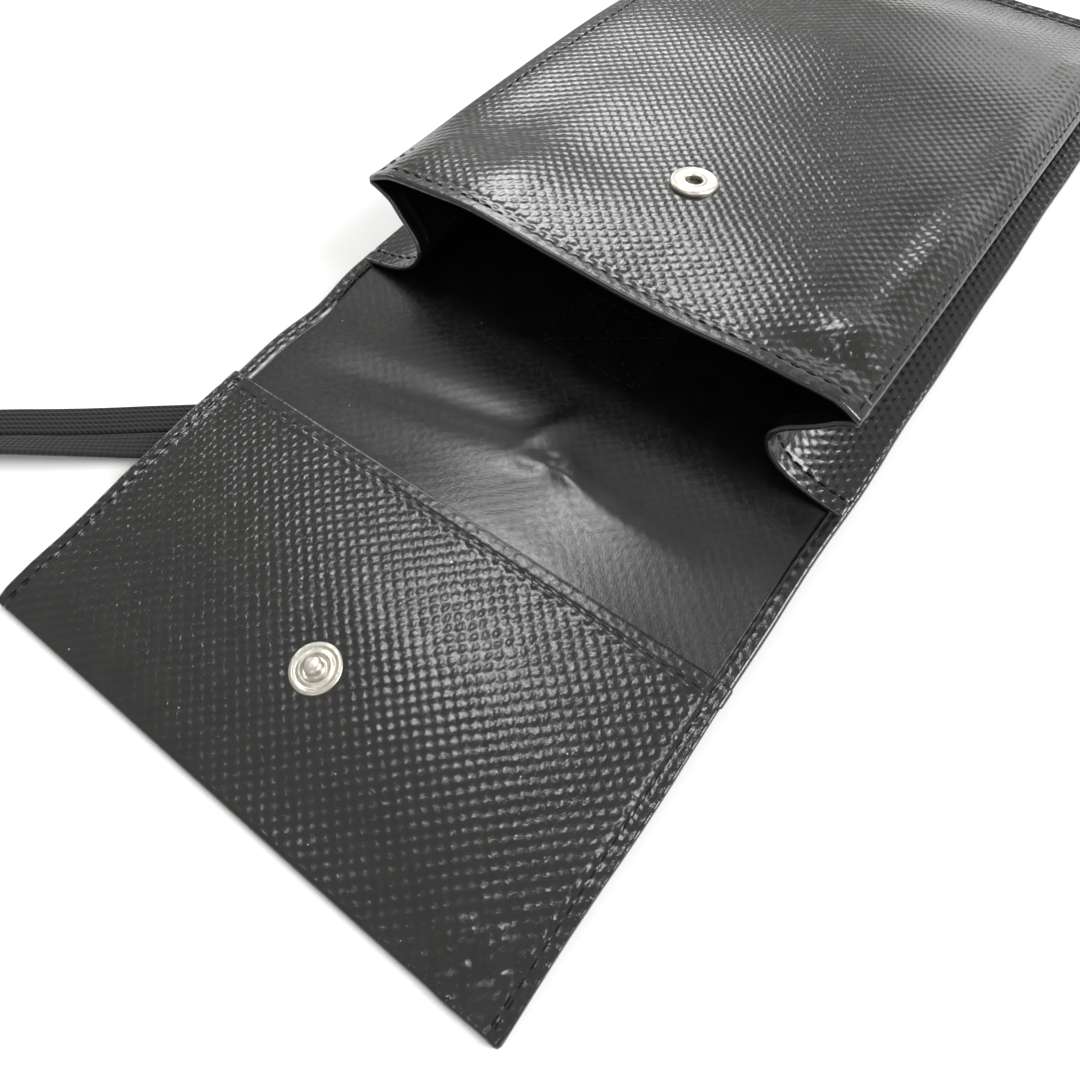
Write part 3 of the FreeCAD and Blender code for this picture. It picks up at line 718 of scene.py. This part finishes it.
def front_height(share, v):
    """The front panel's upper face, from the left rim (-1) to the right rim (1)."""
    (left_x, left_w), (right_x, right_w) = rim_place(LEFT_RIM, v), rim_place(RIGHT_RIM, v)
    x = (left_x + right_x) / 2 + share * (right_x - left_x) / 2
    rim_w = np.where(share < 0, left_w, right_w)
    bend = 0.12 * np.abs(share) ** 5 + 0.88 * np.abs(share) ** 20
    crown = front_crown(x, v)
    from_rim = (1 - np.abs(share)) * (right_x - left_x) / 2
    pinch = 0.5 * np.exp(-((from_rim - FLANGE - 0.5) / 0.7) ** 2)
    lip = 0.3 * (1 - step(from_rim, FLANGE - 0.9, FLANGE + 0.2))
    seam = 1 - step(v, 176, 190)
    height = crown * (1 - bend) + rim_w * bend + (lip - pinch) * seam
    hem_row = stitch_valley(v - FRONT_START - HEM_INSET, x) * step(from_rim, 1, 3)
    hem_back = np.exp(-((v - FRONT_START - EDGE_HEM - 0.5) / 0.9) ** 2)
    rim_row = stitch_valley(from_rim - FLANGE * 0.6, v, 3.0) * 0.3
    return x, height - 0.20 * hem_row - 0.15 * hem_back - rim_row


def front_top(x, v, w=0.0):
    """Points of the upper face for places given across by x."""
    (left_x, _), (right_x, _) = rim_place(LEFT_RIM, v), rim_place(RIGHT_RIM, v)
    share = (x - (left_x + right_x) / 2) / ((right_x - left_x) / 2)
    place, height = front_height(share, v)
    return front.at(place, v, CLOTH + height + w)


def make_front():
    """The front panel: crowned, with its mouth hemmed and both rims pinched to the gussets."""
    across = columns_across(1.0, 0.09, 0.0175)
    first = FRONT_START + CLOTH
    along = np.concatenate([np.linspace(first, first + 7, 24)[:-1],
                            np.arange(first + 7, SEAM_REACH - 0.6, 0.8)])
    share, v = np.meshgrid(across, along)
    x, height = front_height(share, v)
    grid = front.at(x, v, CLOTH + height)
    hem = 1 - step(v, FRONT_START + EDGE_HEM - 0.2, FRONT_START + EDGE_HEM + 0.2)
    from_rim = (1 - np.abs(share)) * 60
    flange = (1 - step(from_rim, FLANGE - 0.3, FLANGE + 0.3)) * (1 - step(v, 165, 185))
    thickness = CLOTH * (1 + np.maximum(hem, flange * 0.9))
    edge = np.maximum(1 - step(from_rim, 0.5, 1.4), 1 - step(v, first + 0.6, first + 1.6))
    band = 0.7 * np.maximum(1 - step(v, FRONT_START + HEM_INSET, FRONT_START + EDGE_HEM),
                            1 - step(from_rim, FLANGE, FLANGE + 1.0))
    cloth = np.stack([x, v], -1)
    piece = cloth_piece("front_panel_sheet", TARPAULIN, grid, thickness, cloth,
                        (1 - band, 0.0), edge)
    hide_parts("front_panel")
    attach(piece, "front")
    squash_with_front(piece)


def band_top(x, v, w=0.0):
    """The front panel's lower edge, sewn flat on the back panel."""
    groove = stitch_valley(v - (BODY_LENGTH - BOTTOM_INSET), x)
    rise = 0.9 * (1 - step(v, 190.4, 192.6))
    return back.at(x, v, 2 * CLOTH + 0.15 + rise - 0.3 * groove + 0.1 * waves(x, v, 41, 5) + w)


def make_bottom_band():
    """The seam allowance below the front panel, inside the side hems."""
    across = columns_across(WIDTH / 2 - SIDE_HEM - 0.6, 2.0)
    along = np.linspace(190.6, BODY_LENGTH - 0.5, 16)
    x, v = np.meshgrid(across, along)
    edge = step(v, BODY_LENGTH - 1.6, BODY_LENGTH - 0.8)
    cloth = np.stack([x, v], -1)
    piece = cloth_piece("bottom_seam_band", TARPAULIN, band_top(x, v), CLOTH, cloth,
                        (1.0, 0.0), edge)
    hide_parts("bottom_seam_allowance")
    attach(piece, "root")


# ---------------------------------------------------------------- gussets

# Each gusset's section at the mouth, from its foot to the rim: (x, share of the height).
GUSSET_LEFT = [(-64.6, 0.0), (-61.6, 0.035), (-57.0, 0.08), (-52.6, 0.15), (-48.6, 0.27),
               (-46.4, 0.40), (-45.9, 0.50), (-47.0, 0.57), (-48.9, 0.66), (-51.8, 0.78),
               (-54.0, 0.90), (-57.6, 0.97), (-59.4, 1.0)]
GUSSET_RIGHT = [(64.4, 0.0), (61.4, 0.02), (57.1, 0.06), (52.1, 0.14), (48.2, 0.27),
                (46.3, 0.40), (46.0, 0.50), (47.9, 0.62), (51.5, 0.73), (54.4, 0.83),
                (56.6, 0.93), (58.4, 0.98), (59.4, 1.0)]
GUSSET_START, GUSSET_END = 1.2, 188.0


def gusset_point(profile, rim, t, v):
    """A place on a gusset: t from its foot on the hem (0) to the rim (1)."""
    spots = np.linspace(0, 1, len(profile))
    v = v + 2.9 * step(t, 0.3, 0.95) * (1 - step(v, 20, 60))
    across, up = zip(*profile)
    x = curve(t, spots, across)
    share = curve(t, spots, up)
    rim_x, rim_w = rim_place(rim, v)
    top = front.at(rim_x, v, rim_w - 0.95)
    low = back.at(x, v, 1.7)
    shift = (rim_x - across[-1]) * step(t, 0.5, 1.0) * 0.96
    closing = step(v, 130, 190)
    z = low[..., 2] + (np.maximum(top[..., 2] - low[..., 2], 0.3)) * share
    bulge = 1.2 * np.sin(math.pi * t) * waves(v, t * 20, 17, 55) * (1 - closing) * step(v, 5, 25)
    side = np.sign(across[0])
    y = low[..., 1] * (1 - share) + top[..., 1] * share
    return np.stack([x + shift + side * bulge, y, z], -1)


def curve(t, spots, values):
    """A smooth interpolation through the profile's points."""
    t = np.asarray(t, float)
    total = 0.0
    for shift, weight in ((-0.03, 0.25), (0.0, 0.5), (0.03, 0.25)):
        total = total + weight * np.interp(np.clip(t + shift, 0, 1), spots, values)
    return total


def make_gusset(name, profile, rim):
    """One pleated side wall, hemmed at the mouth."""
    t_values = np.linspace(0, 1, 72)
    along = np.concatenate([np.linspace(GUSSET_START, GUSSET_START + 7, 22)[:-1],
                            np.arange(GUSSET_START + 7, GUSSET_END, 1.2)])
    t, v = np.meshgrid(t_values, along)
    grid = gusset_point(profile, rim, t, v)
    row = stitch_valley(v - GUSSET_START - HEM_INSET, t * 60)
    right = profile[0][0] > 0
    normal = grid_normals(grid) * (-1 if right else 1)
    grid = grid - normal * (0.3 * row)[..., None]
    hem = 1 - step(v, GUSSET_START + EDGE_HEM - 0.2, GUSSET_START + EDGE_HEM + 0.2)
    arc = run_lengths(grid[0])
    cloth = np.stack([np.broadcast_to(arc, t.shape), v], -1)
    edge = 1 - step(v, GUSSET_START + 0.3, GUSSET_START + 1.2)
    piece = cloth_piece(f"{name}_sheet", TARPAULIN, grid, CLOTH * (1 + 0.8 * hem), cloth,
                        (1.0, 0.0), edge, right)
    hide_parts(name)
    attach(piece, "root")
    squash_with_gussets(piece)


# ---------------------------------------------------------------- seams

def make_seams():
    """Every row of stitches, a piece for each CAD seam."""
    half = WIDTH / 2
    side = half - SIDE_INSET

    def both(surface, start, end):
        """A seam and its mirror image."""
        return [(surface, (sign * start[0], start[1]), (sign * end[0], end[1])) for sign in (1, -1)]

    rim = 59.1
    rows = {
        "back_side_stitching": ("root", both(strip_top, (side, -8.9), (side, BODY_LENGTH - 3.5))),
        "bottom_seam_stitching": ("root", [(band_top, (2 - side, BODY_LENGTH - BOTTOM_INSET),
                                            (side - 2, BODY_LENGTH - BOTTOM_INSET))]),
        "mouth_hem_stitching": ("front", [(front_top, (-56.5, FRONT_START + HEM_INSET),
                                           (56.5, FRONT_START + HEM_INSET))]),
        "front_rim_stitching": ("front", both(front_top, (rim, FRONT_START + HEM_INSET + 2),
                                              (rim, SEAM_REACH - 12))),
        "facing_hem_stitching": ("flap", [(facing_top, (4 - half, FACING_START - HEM_INSET),
                                           (half - 4, FACING_START - HEM_INSET))]),
        "flap_side_stitching": ("flap", both(facing_top, (side, 8 - FLAP_LENGTH),
                                             (side, FACING_START - 2.6))),
    }
    for name, (body, seams) in rows.items():
        piece = stitching(f"{name}_thread", body, seams)
        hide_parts(name)
    make_fold_seam(side)
    make_tacks(side, rim)
    make_anchor_seam()


def make_fold_seam(side):
    """The side seams of the spine, across the fold."""
    seams = [(strip_top, (x, FACING_START + 0.6), (x, -9.2)) for x in (side, -side)]
    piece = stitching("spine_side_stitching_thread", "flap", seams,
                      blend_at=("root", "flap", *FOLD_SPAN))
    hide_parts("spine_side_stitching")


def make_tacks(side, rim):
    """Back-and-forth stitches at the ends of the seams."""
    flap_rows, front_rows = [], []
    for sign in (1, -1):
        for shift in (-0.35, 0.35):
            x = sign * (side + shift)
            flap_rows.append((facing_top, (x, 1.6 - FLAP_LENGTH), (x, 8 - FLAP_LENGTH)))
            flap_rows.append((facing_top, (x, FACING_START - 3.4), (x, FACING_START - 0.9)))
            x = sign * (rim - 0.6 + shift)
            front_rows.append((front_top, (x, FRONT_START + 1.4), (x, FRONT_START + 6.0)))
    for name, body, rows in (("flap_corner_tacks", "flap", flap_rows),
                             ("mouth_corner_tacks", "front", front_rows)):
        piece = stitching(f"{name}_thread", body, rows)
        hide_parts(name)


def make_anchor_seam():
    """The box of stitches that holds the cord's patch, seen inside the pouch."""
    low, high = 5.0, 23.0
    corners = [(-13, low), (13, low), (13, high), (-13, high), (-13, low)]

    def sunk(x, v, w):
        return strip_top(x, v, w - 0.05)

    rows = [(sunk, start, end) for start, end in zip(corners, corners[1:])]
    rows.append((sunk, corners[0], corners[2]))
    rows.append((sunk, corners[1], corners[3]))
    piece = stitching("cord_anchor_stitching_thread", "root", rows)
    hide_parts("cord_anchor_stitching")


def make_gusset_seams():
    """The stitches along each gusset's hemmed mouth."""
    stitches, pitch, length = 19, 0.05, 0.04
    row = np.full(len(STITCH_ARCH), GUSSET_START + HEM_INSET)
    for name, profile, rim in (("left", GUSSET_LEFT, LEFT_RIM), ("right", GUSSET_RIGHT, RIGHT_RIM)):
        right = profile[0][0] > 0

        def surface(t, v, w, profile=profile, rim=rim, right=right):
            here = gusset_point(profile, rim, t, v)
            ahead = gusset_point(profile, rim, t + 0.01, v) - here
            along = gusset_point(profile, rim, t, v + 0.5) - here
            normal = unit(np.cross(ahead, along) * (-1 if right else 1))
            return here + normal * np.asarray(w)[..., None]

        made = [], [], []
        for number in range(stitches):
            first = 0.03 + number * pitch
            spots = np.linspace(first, first + length, len(STITCH_ARCH))
            add_stitch(made, surface, spots, row, 3)
        piece = finish_mesh(f"gusset_{name}_mouth_stitching", THREAD_BLACK, *made)
        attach(piece, "root")
        squash_with_gussets(piece)


# ---------------------------------------------------------------- press snap

def make_snap():
    """Socket ring and stud with soft edges, over the riveted bases from the frame."""
    radius = SOCKET_RADIUS
    centre = tuple(front.at(0, SNAP_REACH, CLOTH))
    ring = rounded([(1.9, 0.2), (1.9, 1.0), (2.15, 1.25), (2.6, 1.22), (2.9, 1.12), (4.5, 1.12),
                    (4.85, 1.25), (5.2, 1.15), (radius, 0.75), (radius, 0.0), (4.2, 0.0)], 0.2)
    socket = lathe("snap_socket_ring", NICKEL, ring, centre, front.normal())
    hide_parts("snap_socket")
    radius = STUD_RADIUS
    stud_centre = tuple(flap.at(0, -SNAP_REACH - 2 * FOLD_REACH, FACING_TOP + 0.02))
    flange = rounded([(radius - 0.2, 0.0), (radius, 0.35), (radius - 0.15, 0.75), (4.5, 0.9),
                      (4.1, 0.72), (3.7, 0.68), (3.4, 0.9), (2.95, 0.95), (2.6, 0.62), (2.2, 0.5),
                      (1.75, 0.62), (1.5, 1.0), (1.5, 1.7), (1.8, 2.1), (1.8, 2.5), (1.4, 2.85),
                      (0.7, 2.98), (0.0, 3.0)], 0.18)
    stud = lathe("snap_stud_turned", NICKEL, flange, stud_centre, flap.normal())
    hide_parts("snap_stud")
    for piece, body in ((socket, "front"), (stud, "flap")):
        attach(piece, body)


def paint_frame():
    """Finishes for the CAD nodes that stay in view."""
    finishes = {"snap_socket_base": NICKEL, "snap_stud_base": NICKEL,
                "snap_socket_spring": SPRING_WIRE, "cord_anchor_patch": TARPAULIN}
    for name, material in finishes.items():
        materials = frame["nodes"][name].data.materials
        materials.clear()
        materials.append(material)


# ---------------------------------------------------------------- neck cord

FAR_RUN = [(-3.8, -40.6), (-4.4, -51.0), (-10.5, -61.0), (-24.0, -69.5), (-45.0, -82.5),
           (-70.0, -100.6), (-88.0, -114.5), (-107.0, -127.3), (-126.0, -143.0), (-143.5, -163.0)]
NEAR_RUN = [(3.8, -40.6), (3.6, -54.5), (-5.0, -67.0), (-19.0, -75.6), (-40.5, -88.8),
            (-65.5, -106.8), (-83.5, -120.7), (-102.5, -133.6), (-120.0, -148.0), (-137.5, -168.0)]
COIL_CENTRE = (-112.0, -199.0)
CORD_REST = 1.0
NEAR_HEIGHTS = [1.0, 1.0, 1.0, 1.0, 1.0, 1.0, 2.7, 2.9, 2.3, 1.0]
BIGHT = 14.0
COIL_OUTER, COIL_INNER, COIL_PITCH = 47.8, 40.1, 17.0
RIB_RISE = 0.33
TIE_TAPE_THICKNESS = 0.35


def polar(angle, radius):
    """A place round the coil's centre."""
    return (COIL_CENTRE[0] + radius * math.cos(angle), COIL_CENTRE[1] + radius * math.sin(angle))


def coil_points():
    """The put-away coil: both runs spiral in side by side to an S-shaped bight."""
    entry = math.atan2(FAR_RUN[-1][1] - COIL_CENTRE[1], FAR_RUN[-1][0] - COIL_CENTRE[0])
    turns, steps = 2 * math.pi, 16
    outer = [polar(entry + turns * k / steps, COIL_OUTER - COIL_PITCH * k / steps)
             for k in range(1, steps)]
    last = entry + turns
    side = (math.cos(last), math.sin(last))
    run = (-side[1], side[0])

    def near(out, ahead):
        return (COIL_CENTRE[0] + side[0] * out + run[0] * ahead,
                COIL_CENTRE[1] + side[1] * out + run[1] * ahead)

    bight = [near(16 + BIGHT * math.cos(a), BIGHT * 1.05 * math.sin(a))
             for a in np.linspace(0, math.pi, 7)]
    back_arc = [near(-12 + BIGHT * math.cos(a), BIGHT * 1.05 * math.sin(a))
                for a in np.linspace(0, -math.pi, 7)][1:]
    inner = [polar(entry + turns * k / steps, COIL_INNER - COIL_PITCH * k / steps)
             for k in range(steps // 2 - 1, 0, -1)]
    return outer + bight + back_arc + inner


def cord_line():
    """The cord's centreline: a NURBS through both runs and the coil, as close points."""
    route = [(x, y, CORD_REST) for x, y in FAR_RUN + coil_points()]
    near = [(x, y, z) for (x, y), z in zip(NEAR_RUN, NEAR_HEIGHTS)]
    route += near[::-1]
    data = bpy.data.curves.new("cord_route", "CURVE")
    data.dimensions = "3D"
    spline = data.splines.new("NURBS")
    spline.points.add(len(route) - 1)
    for point, (x, y, z) in zip(spline.points, route):
        point.co = (x * MM, y * MM, z * MM, 1)
    spline.order_u = 3
    spline.use_endpoint_u = True
    spline.resolution_u = 14
    holder = bpy.data.objects.new("cord_route", data)
    bpy.context.scene.collection.objects.link(holder)
    mesh = holder.to_mesh()
    points = np.array([vertex.co for vertex in mesh.vertices]) / MM
    holder.to_mesh_clear()
    bpy.data.objects.remove(holder)
    return points


def even_points(points, spacing):
    """The same line with points a fixed distance apart."""
    lengths = run_lengths(points)
    count = round(lengths[-1] / spacing)
    places = np.linspace(0, lengths[-1], count + 1)
    return np.stack([np.interp(places, lengths, points[:, axis]) for axis in range(3)], -1), places


def rib_profile():
    """Half-rounded ribs over and under a flat braid: (across, up, share of width)."""
    top = []
    for k in range(CORD_RIBS * 6 + 1):
        share = k / (CORD_RIBS * 6)
        across = (share - 0.5) * CORD_WIDTH
        edge = math.sqrt(max(0.0, 1 - abs(2 * share - 1) ** 5))
        rib = RIB_RISE * abs(math.sin(math.pi * share * CORD_RIBS))
        top.append((across, (CORD_THICKNESS / 2 - RIB_RISE + rib) * edge, share))
    under = [(across, -up, share) for across, up, share in top[-2:0:-1]]
    return top + under


def make_cord():
    """The neck cord: one flat ribbed braid from the patch out to the coil and back."""
    line, places = even_points(cord_line(), 1.0)
    side = unit(np.cross(unit(np.gradient(line, axis=0)), (0, 0, 1.0)))
    profile = rib_profile()
    lean = np.arcsin(np.clip((line[:, 2] - CORD_REST) / (CORD_WIDTH / 2), 0, 0.7))
    points, cloth = [], []
    for centre, level, angle, along in zip(line, side, lean, places):
        across = level * math.cos(angle) + np.array((0, 0, math.sin(angle)))
        rise = np.array((0, 0, math.cos(angle))) - level * math.sin(angle)
        for shift, up, share in profile:
            sway = 0.06 * math.sin(along / 9.0 + share * 2)
            points.append(centre + across * shift + rise * (up + sway))
            cloth.append((share, along, 0))
    faces = ring_faces(len(line), len(profile))
    faces.append(tuple(range(len(profile))))
    faces.append(tuple(len(points) - 1 - k for k in range(len(profile))))
    piece = finish_mesh("neck_cord_braid", BRAID, points, faces, cloth)
    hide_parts("neck_cord_far_run", "neck_cord_near_run", "neck_cord_coil")
    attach(piece, "root")


def make_tie_band():
    """The tape round the coil's strands, a flat ring standing on the table."""
    angle = -math.pi / 2
    low, high, top = 17.0, 54.0, 2.35
    outline = [(low, 0.1), (low + 0.2, 1.6), (low + 1.6, top)]
    outline += [(radius, top + 0.08 * math.sin(radius / 1.2))
                for radius in np.linspace(low + 3, high - 3, 24)]
    outline += [(high - 1.6, top), (high - 0.2, 1.6), (high, 0.1)]
    rows = []
    for radius, height in outline:
        centre = polar(angle, radius)
        rows.append([(centre[0] + shift, centre[1], height + TIE_TAPE_THICKNESS)
                     for shift in np.linspace(-TIE_WIDTH / 2, TIE_WIDTH / 2, 9)])
    grid = np.array(rows)[::-1]
    cloth = grid[..., :2]
    piece = cloth_piece("neck_cord_tie_band", TIE_TAPE, grid, TIE_TAPE_THICKNESS, cloth, (1.0, 1.0))
    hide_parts("neck_cord_tie")
    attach(piece, "root")


# ---------------------------------------------------------------- stage

def add_floor():
    """A pale floor just under the pouch."""
    bpy.ops.mesh.primitive_plane_add(size=6.0, location=(0, 0, -0.0002))
    floor = bpy.context.object
    floor.name = "floor"
    floor.data.materials.append(make_floor_material())


def add_light(name, place, aim, size, power, tall=None):
    """A soft rectangular light, placed and aimed in metres."""
    data = bpy.data.lights.new(name, "AREA")
    data.shape = "RECTANGLE"
    data.size = size
    data.size_y = tall or size
    data.energy = power
    light = bpy.data.objects.new(name, data)
    light.location = place
    light.rotation_euler = (Vector(aim) - Vector(place)).to_track_quat("-Z", "Y").to_euler()
    bpy.context.scene.collection.objects.link(light)


def add_lights():
    """Soft studio light: a pale room, and windows that the cloth mirrors."""
    world = bpy.data.worlds.new("studio")
    world.use_nodes = True
    background = world.node_tree.nodes["Background"]
    background.inputs["Color"].default_value = (1.0, 0.985, 0.96, 1)
    background.inputs["Strength"].default_value = 0.6
    bpy.context.scene.world = world
    add_light("ceiling", (-0.40, 0.14, 1.15), (0, -0.04, 0), 0.24, 2.6)
    add_light("window", (-1.25, 1.9, 1.5), (0, 0, 0), 0.9, 21.0, 0.7)
    add_light("back_wall", (0.2, 2.0, 0.5), (0, 0, 0), 1.2, 3.0, 0.5)
    add_light("left", (-1.3, 0.1, 0.55), (0, 0, 0), 0.4, 2.4)
    add_light("right", (1.1, 0.5, 1.0), (0, 0, 0), 0.8, 24.0)
    add_light("fill", (0.35, -0.9, 1.0), (0, 0, 0), 0.6, 2.0)


CAMERA_ROLL = -0.096


def add_camera():
    """The camera where the photographer held it, a little rolled."""
    place, target = Vector((78.04, -142.53, 161.29)), Vector((11.53, -66.52, 0))
    cos, sin = math.cos(CAMERA_ROLL), math.sin(CAMERA_ROLL)
    forward = (target - place).normalized()
    right = forward.cross(Vector((0, 0, 1))).normalized()
    up = right.cross(forward)
    right, up = right * cos + up * sin, up * cos - right * sin
    data = bpy.data.cameras.new("camera")
    data.sensor_width = 36.0
    data.lens = 29.94
    data.shift_x = -0.0131
    data.shift_y = -0.0474
    data.clip_start = 0.01
    camera = bpy.data.objects.new("camera", data)
    turn = Matrix((right, up, -forward)).transposed()
    camera.matrix_world = Matrix.Translation(place * MM) @ turn.to_4x4()
    bpy.context.scene.collection.objects.link(camera)
    bpy.context.scene.camera = camera


add_floor()
add_lights()
add_camera()
bpy.context.scene.view_settings.view_transform = "Standard"
make_strip()
make_facing()
make_front()
make_bottom_band()
make_gusset("gusset_left", GUSSET_LEFT, LEFT_RIM)
make_gusset("gusset_right", GUSSET_RIGHT, RIGHT_RIM)
make_seams()
make_gusset_seams()
make_snap()
make_cord()
make_tie_band()
paint_frame()
